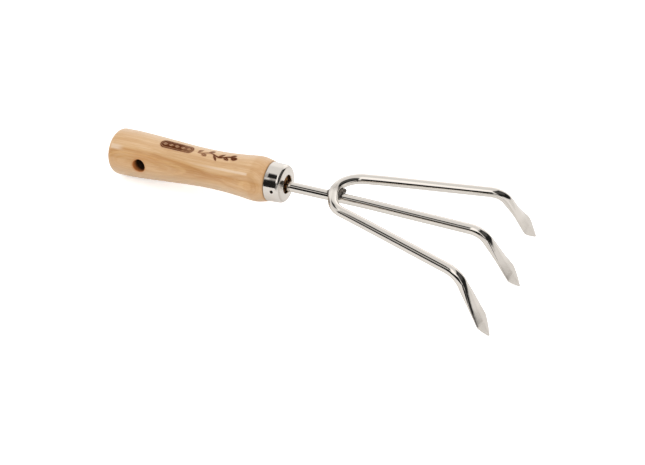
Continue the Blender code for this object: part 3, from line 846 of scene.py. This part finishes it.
def paint_figure(net, deg, wood):
    """Heart figure on the -Y side, dark and pale streaks. Returns the ribbon noise."""
    x, depth = net.x, wood.depth
    near = deg.window(30.0, 50.0, 104.0, 126.0)
    above = deg.step(84.0, 66.0)
    line = (depth - 15.25).abs().step(0.62, 0.10) * near
    warm = depth.step(13.4, 14.9) * near
    net.paint(warm * (0.45 + above * 0.50), colour=(0.905, 0.800, 0.600), blend="MULTIPLY")
    net.paint((line * (0.22 + above * 0.34 + wood.fibre * 0.25)).clamp(),
              colour=(0.420, 0.190, 0.055))
    arch = depth.step(15.7, 16.5) * near * (0.05 + 0.95 * x.step(92.0, 66.0))
    arcs = (((depth - 0.1) / 0.52).fract() - 0.35).step(0.45, 0.05)
    net.paint((arch * (0.12 + arcs * 0.26)).clamp(), colour=(0.700, 0.475, 0.270))
    streak = net.grain(along=0.040, across=1.15, detail=4.0, rough=0.68, shift=17.0)
    net.paint((streak * 1.05 - 0.06).clamp() * 0.85, colour=(0.455, 0.225, 0.078))
    net.paint((-streak * 0.95 - 0.06).clamp() * 0.75, colour=(0.760, 0.560, 0.370))
    ribbon = net.grain(along=0.019, across=0.52, detail=4.0, rough=0.78, shift=3.0)
    net.paint((ribbon * 1.7 - 0.12).clamp() * 0.62, colour=(0.470, 0.235, 0.080))
    net.paint((-ribbon * 1.6 - 0.12).clamp() * 0.50, colour=(0.770, 0.570, 0.375))
    return ribbon


def paint_patches(net, deg, fibre, ribbon):
    """Local patches, placed by x and by degrees from +Z towards -Y: figure, painted shade, painted sheen and
    painted reflection.
    """
    x = net.x
    turn_mark = deg.window(38.0, 48.0, 76.0, 96.0, times=x.window(109.4, 110.6, 112.4, 114.4))
    net.paint((turn_mark * (0.30 + ribbon * 0.5)).clamp(), colour=(0.520, 0.255, 0.080))
    # painted shade: darker and warmer on the -Y side towards the butt, and faintly higher up from x 42 on
    painted_shade = deg.window(52.0, 70.0, 104.0, 118.0) * x.step(96.0, 76.0)
    painted_shade = painted_shade * 0.62 + deg.window(16.0, 27.0, 45.0, 52.0) * x.step(30.0, 42.0) * 0.26
    net.paint(painted_shade, colour=(0.860, 0.790, 0.700), blend="MULTIPLY")
    # painted sheen: a paler band on the -Y side towards the ferrule
    light = deg.window(46.0, 52.0, 59.0, 66.0) * x.step(72.0, 84.0)
    net.paint(light * 0.26, colour=(0.720, 0.520, 0.330))
    rust = x.window(12.0, 30.0, 40.0, 52.0, times=(deg - 57.0).abs().step(11.0, 3.0))
    net.paint((rust * (0.30 + fibre * 0.35)).clamp(), colour=(0.480, 0.190, 0.045))
    # painted reflection: greyer underneath, where the floor reflects, and faintly greyer on top, where the white
    # above reflects
    wander = net.grain(along=0.014, across=0.30, detail=3.0, rough=0.6, shift=2.0) * 9.0
    painted_reflection = (deg + wander).step(80.0, 104.0) + deg.step(24.0, -6.0) * 0.40
    net.paint(painted_reflection.clamp() * 0.50, colour=(0.585, 0.415, 0.255))
    # painted sheen: paler bands on the shoulders and near the butt, where a soft light reflects
    painted_sheen = x.window(58.0, 98.0, 110.6, 112.8, times=(deg - 46.0).abs().step(5.5, 1.0))
    painted_sheen = painted_sheen + (deg - 42.0).abs().step(9.0, 3.0) * x.step(15.0, 8.0) * x.step(2.4, 4.2)
    net.paint((painted_sheen * (0.42 + fibre * 0.3)).clamp(), colour=(0.860, 0.740, 0.600))
    net.paint(x.step(111.5, 114.5) * 0.35, colour=(0.500, 0.265, 0.098))


def paint_ends_and_hole(net):
    """Speckled butt face, darker hanging hole with painted shade deep inside, ferrule end with a painted-light
    spigot face. Returns end, speck and hole masks.
    """
    x, y, z = net.x, net.y, net.z
    end = x.step(0.9, 0.1)
    speck = net.grain(along=2.0, across=3.2, detail=2.0, rough=0.6)
    net.paint(end * (0.30 + speck * 0.30).clamp(), colour=(0.42, 0.225, 0.098))
    out, tangent = radial_dirs(HANG_TILT)
    across = y * tangent.y + z * tangent.z
    from_hole = x - HANG_X
    hole_d = (from_hole * from_hole + across * across).sqrt()
    deep = hole_d.step(HANG_R + 0.70, HANG_R + 0.05)
    halo = hole_d.step(HANG_R + 2.2, HANG_R + 0.5) * (0.34 + from_hole.step(1.0, -4.0) * 0.26)
    net.paint(halo, colour=(0.46, 0.200, 0.062))
    net.paint(deep * (0.86 + speck * 0.1), colour=(0.400, 0.125, 0.028))
    reach = (y * out.y + z * out.z).abs()
    # painted shade: near black deep inside the hanging hole
    painted_hole_shade = deep * (reach + speck * 0.5).step(14.6, 10.6)
    net.paint(painted_hole_shade * 0.96, colour=(0.012, 0.004, 0.002))
    net.paint(x.step(WOOD_END - 2.2, WOOD_END + 0.2) * 0.35, colour=(0.50, 0.27, 0.11))
    # painted light: the spigot's end face, deep in the ferrule's hole, is painted bright orange
    net.paint(x.step(SPIGOT_END - 0.8, SPIGOT_END - 0.1) * 0.92, colour=(0.98, 0.56, 0.240))
    return end, speck, deep


def ash_material():
    net = material("ash_oiled")
    angle = net.math("ARCTAN2", -net.y, net.z)
    deg = angle * DEGREES
    wood = ash_grain(net)
    late, fibre, pore = wood.late, wood.fibre, wood.pore
    paint_ground(net, wood)
    ribbon = paint_figure(net, deg, wood)
    paint_patches(net, deg, fibre, ribbon)
    end, speck, deep = paint_ends_and_hole(net)
    grime = net.noise(net.x * 0.05, net.y * 0.09 + 4.0, net.z * 0.09, detail=4.0, rough=0.6)
    net.paint((grime * 0.30).clamp(), colour=(0.500, 0.295, 0.150))
    scorch, halo = burnt_ornament(net, angle)
    top = net.z.step(0.0, 4.0)
    scorch, halo = scorch * top, halo * top
    net.paint(halo * 0.60, colour=(0.335, 0.118, 0.034))
    net.paint((scorch * 1.20).clamp(), colour=(0.092, 0.022, 0.004))
    rough = 0.36 + late * 0.05 + pore * 0.20 + fibre * 0.05 + scorch * 0.25 + deep * 0.25 + end * 0.12
    height = (fibre * 0.020 + wood.fine * 0.010 + late * 0.012 - pore * 0.050 - scorch * 0.14
              + end * speck * 0.05)
    net.fill(net.bsdf, {
        "Base Color": net.base,
        "Roughness": rough.clamp(),
        "Specular IOR Level": (0.40 - scorch * 0.42 - deep * 0.36).clamp(),
        "Coat Weight": (0.50 - scorch * 0.70 - halo * 0.12 - deep * 0.8).clamp(),
        "Coat Roughness": 0.20,
        "Coat IOR": 1.42,
        "Normal": net.bump(height, strength=0.8),
        "Coat Normal": net.bump(fibre * 0.006 - scorch * 0.09 - pore * 0.012, strength=0.6)})
    return net.mat


# ---------------------------------------------------------------- steels
def steel_speck(net):
    return net.grain(along=0.9, across=0.9, detail=3.0, rough=0.6)


def steel_swirl(net):
    return net.noise(net.x * 0.25, net.y * 0.25 + 5.0, net.z * 0.25, detail=2.0, rough=0.5)


def bright_steel(name):
    """Clouded nickel plate: its Net, cloud, speck, swirl and roughness."""
    net = material(name)
    cloud = net.grain(along=0.06, across=0.10, detail=3.0, rough=0.55)
    speck = steel_speck(net)
    swirl = steel_swirl(net)
    net.base = net.mix((cloud * 0.5 + 0.5).clamp(), (0.655, 0.607, 0.553), (0.700, 0.655, 0.603))
    rough = 0.060 + cloud * 0.015 + (speck * 0.03).max(0.0)
    return net, cloud, speck, swirl, rough


def finish_metal(net, rough, height):
    net.fill(net.bsdf, {"Base Color": net.base, "Metallic": 1.0, "Roughness": rough.clamp(),
                        "Normal": net.bump(height, strength=1.0)})
    return net.mat


def ferrule_material():
    net, cloud, speck, swirl, rough = bright_steel("nickelled_ferrule")
    x, y, z = net.x, net.y, net.z
    lathe = net.grain(along=7.0, across=0.10, detail=2.0, rough=0.6)
    nick = net.noise(x * 1.5, y * 1.0 + 9.0, z * 1.0, detail=2.0, rough=0.6).step(0.50, 0.72)
    height = lathe * 0.0006 + swirl * 0.010 - nick * 0.0020 + cloud * 0.02
    rough = rough + (lathe * 0.02).max(0.0) + nick * 0.08
    joint = x.step(FERRULE_BACK + 0.9, FERRULE_BACK)
    net.paint(joint * 0.45, colour=(0.24, 0.19, 0.15))
    # painted dark reflection: a darker patch; and a worn edge above it
    deg = net.math("ARCTAN2", -y, z) * DEGREES + cloud * 6.0
    painted_dark_reflection = deg.window(38.0, 42.0, 48.0, 53.0) * (x + swirl * 0.8).step(126.9, 128.6)
    painted_dark_reflection = painted_dark_reflection * x.step(132.9, 132.0)
    net.paint((painted_dark_reflection * (0.72 + speck * 0.3)).clamp(), colour=(0.215, 0.190, 0.170))
    worn = deg.window(24.0, 30.0, 39.0, 44.0) * (x + swirl * 0.8).step(127.0, 125.8)
    rough = rough + worn * 0.34
    radius = (y * y + z * z).sqrt()
    inside = radius.step(12.4, 12.1) * x.step(FERRULE_FACE + 0.1, FERRULE_FACE - 0.5)
    net.paint(inside * 0.35, colour=(0.30, 0.24, 0.18))
    # the lip is worn satin on the -Y side
    rub = deg.window(50.0, 60.0, 78.0, 88.0, times=x.step(HANDLE_L - 2.4, HANDLE_L - 1.2))
    return finish_metal(net, rough + rub * 0.24, height)


def bar_material():
    net, cloud, speck, swirl, rough = bright_steel("nickelled_bar")
    x, y, z = net.x, net.y, net.z
    scratch = net.grain(along=0.35, across=4.5, detail=3.0, rough=0.6)
    height = swirl * 0.010 + cloud * 0.018 + scratch * 0.0007
    # the forged blades are satin, ground lengthwise
    blade = z.step(-24.5, -30.5)
    hammer = net.grain(along=0.32, across=0.32, detail=2.0, rough=0.5, shift=2.0)
    grind = net.noise(x * 1.1, y * 3.8, z * 0.55, detail=4.0, rough=0.65)
    rough = rough + blade * 0.14 + blade * (grind * 0.05)
    height = height + blade * (grind * 0.0035 + hammer * 0.010)
    net.paint((blade * (0.46 + grind * 0.35)).clamp(), colour=(0.53, 0.485, 0.435))
    # darker brown and rougher round the weld, where the bars meet
    pitch, weld_x = math.radians(HEAD_PITCH), U_APEX_X + 1.2
    from_x = x - HANDLE_L - weld_x * math.cos(pitch)
    from_z = z + weld_x * math.sin(pitch) - 3.6
    distance = (from_x * from_x + y * y * 0.8 + from_z * from_z * 1.4).sqrt() + speck * 1.2
    weld_darkening = distance.step(7.2, 3.6)
    net.paint(weld_darkening * 0.62, colour=(0.15, 0.125, 0.105))
    rough = rough + weld_darkening * 0.12
    # worn nicks near the tips
    near_tip = z.step(-36.0, -45.0)
    nick = net.grain(along=0.8, across=0.8, detail=3.0, rough=0.6).step(0.45, 0.75) * near_tip
    net.paint(nick * 0.5, colour=(0.42, 0.38, 0.34))
    # painted shade on the bar where the tang goes into the ferrule's hole
    tang = x.step(HANDLE_L - 0.5, HANDLE_L - 3.0)
    net.paint(tang * 0.6, colour=(0.25, 0.20, 0.16))
    return finish_metal(net, rough + nick * 0.15, height)


def weld_material():
    net = material("weld_metal_dark")
    speck = steel_speck(net)
    swirl = steel_swirl(net)
    lumps = net.grain(along=0.55, across=0.55, detail=3.0, rough=0.6)
    ripple = (net.x * 2.6 + lumps * 2.0).sin()
    height = lumps * 0.22 + ripple * 0.035 + speck * 0.03
    net.base = net.mix((lumps * 0.9 + 0.30).clamp(), (0.050, 0.042, 0.036), (0.34, 0.31, 0.28))
    net.paint((swirl * 0.6).clamp(), colour=(0.16, 0.10, 0.055))
    return finish_metal(net, 0.20 + (lumps * 0.12).max(0.0), height)


def nail_material():
    net = material("nail_painted_shade")
    speck = steel_speck(net)
    height = speck * 0.02
    # painted shade: the nail's head, sunk in its hole, is coloured near black
    net.base = net.mix((speck * 0.5 + 0.4).clamp(), (0.014, 0.012, 0.011), (0.060, 0.050, 0.044))
    return finish_metal(net, 0.55 + speck * 0.1, height)


def floor_material():
    """Paper white with a glow, strong for the camera and faint in reflections."""
    net = material("paper_floor")
    tone = net.grain(along=0.01, across=0.01)
    seen = net.node("ShaderNodeLightPath").outputs
    camera_glow = Value(net, seen["Is Camera Ray"]) * 0.50
    net.fill(net.bsdf, {
        "Base Color": net.mix((tone * 0.5 + 0.5).clamp(), (0.90, 0.90, 0.90), (0.91, 0.91, 0.91)),
        "Roughness": 0.9,
        "Specular IOR Level": 0.1,
        "Emission Color": (1.0, 0.998, 0.995),
        "Emission Strength": camera_glow + Value(net, seen["Is Glossy Ray"]) * 0.02})
    return net.mat


bar_steel = bar_material()
weld_steel = weld_material()
for obj, mat in ((handle, ash_material()), (ferrule, ferrule_material()), (nail, nail_material()),
                 (centre_bar, bar_steel), (outer_bar, bar_steel), (weld_in, weld_steel),
                 (weld_out, weld_steel), (floor, floor_material())):
    obj.data.materials.append(mat)


# ---------------------------------------------------------------- studio
def mirror_room(net, az, el):
    """Brightness that reflections see, by azimuth and elevation in degrees: a white surround,
    a dark room beyond the table, soft boxes above."""

    def away(centre):
        """Degrees of azimuth away from a compass direction."""
        return net.math("WRAP", az - centre, 180.0, -180.0).abs()

    # dark band between the table's edge and the ceiling
    right = az.window(-100.0, -76.0, 100.0, 130.0)
    edge = -1.5 - right * 24.0 - az.step(-116.0, -134.0) * 5.5
    span = az.window(-150.0, -139.0, -67.0, -61.0)
    ceiling = 33.0 + right * 2.0
    band = (el - edge).step(-3.0, 3.0) * (el - ceiling).step(3.5, -3.5) * span
    # other dark areas
    reach = el.step(64.0, 56.0) * 10.0 + el.step(52.0, 45.0) * 12.0
    gap = (az - reach).step(-172.0, -158.0) * az.step(-99.0, -106.0)
    gap = el.window(8.0, 16.0, 66.0, 71.0, times=gap)
    hook = el.window(-8.0, -3.0, 6.0, 11.0, times=az.window(-71.0, -67.0, -50.0, -45.0))
    spot = away(170.0).step(40.0, 12.0) * (el - 42.0).abs().step(12.0, 6.0) * 0.97
    bow = (az + 5.0) * (az + 5.0)
    front = az.window(-58.0, -51.0, 48.0, 62.0) * (el - 7.0 + bow * 0.0014).step(-2.5, 2.5)
    front = front * (el - 64.0 + bow * 0.0034).step(5.0, -4.0)
    front_grey = el.window(27.0, 35.0, 50.0, 59.0, times=front)
    dark = band.max(gap).max(front).max(hook).max(spot)
    # lighter areas inside the dark
    low = 39.0 - (az + 116.0).abs() * 0.75
    core = (az + 121.0).abs().step(22.0, 14.0) * (el - low).step(-2.0, 5.0) * el.step(54.0, 48.0)
    glow = (az + 120.0).abs().step(9.0, 1.0) * (el - 47.0).abs().step(6.0, 1.0)
    box = el.window(33.0, 39.0, 80.0, 86.0, times=az.window(-106.0, -98.0, -52.0, -40.0))
    box = box + el.window(46.0, 50.0, 56.0, 62.0, times=away(-162.0).step(26.0, 14.0))
    bright = 0.98 + box * 0.46
    bright = bright * (1.0 - dark) + dark * (0.018 + core * 0.58 + glow * 0.35 + front_grey * 0.08)
    back_wall = away(105.0).step(60.0, 40.0) * el.step(50.0, 30.0)
    rim = az.step(112.0, 106.0) * az.step(60.0, 90.0) * el.step(36.0, 12.0)
    return bright + (back_wall * 0.25 + rim * 0.30) * (1.0 - dark)


def build_world():
    """Reflections see the mirror room, the camera plain white, all other rays a soft white sky."""
    world = bpy.data.worlds.new("studio")
    bpy.context.scene.world = world
    world.use_nodes = True
    world.node_tree.nodes.clear()
    net = Net(world.node_tree)
    coord = net.node("ShaderNodeTexCoord")
    x, y, z = net.split(coord.outputs["Generated"])
    el = net.math("ARCSINE", z.max(-1.0).min(1.0)) * DEGREES
    az = net.math("ARCTAN2", y, x) * DEGREES

    def background(colour):
        return net.node("ShaderNodeBackground", {"Color": colour, "Strength": 1.0}).outputs[0]

    mirror = background(net.grey(mirror_room(net, az, el)))
    soft = background(net.grey(1.06 + el.step(-20.0, 80.0) * 0.22))
    flat = background((1.0, 1.0, 1.0))
    rays = net.node("ShaderNodeLightPath").outputs
    lit = net.node("ShaderNodeMixShader", {0: rays["Is Glossy Ray"], 1: soft, 2: mirror})
    seen = net.node("ShaderNodeMixShader", {0: rays["Is Camera Ray"], 1: lit.outputs[0], 2: flat})
    net.node("ShaderNodeOutputWorld", {"Surface": seen.outputs[0]})


def build_camera():
    data = bpy.data.cameras.new("camera")
    camera = bpy.data.objects.new("camera", data)
    bpy.context.scene.collection.objects.link(camera)
    right = (0.90701, 0.41224, -0.08603)
    up = (-0.19738, 0.59661, 0.77788)
    back = (0.372, -0.68856, 0.62249)
    place = (0.45566, -0.54990, 0.46092)
    camera.matrix_world = Matrix((*zip(right, up, back, place), (0, 0, 0, 1)))
    data.sensor_width = 36.0
    data.lens = 64.51786
    data.clip_start, data.clip_end = 0.01, 100.0
    bpy.context.scene.camera = camera


build_world()
build_camera()
bpy.context.scene.view_settings.view_transform = "Standard"
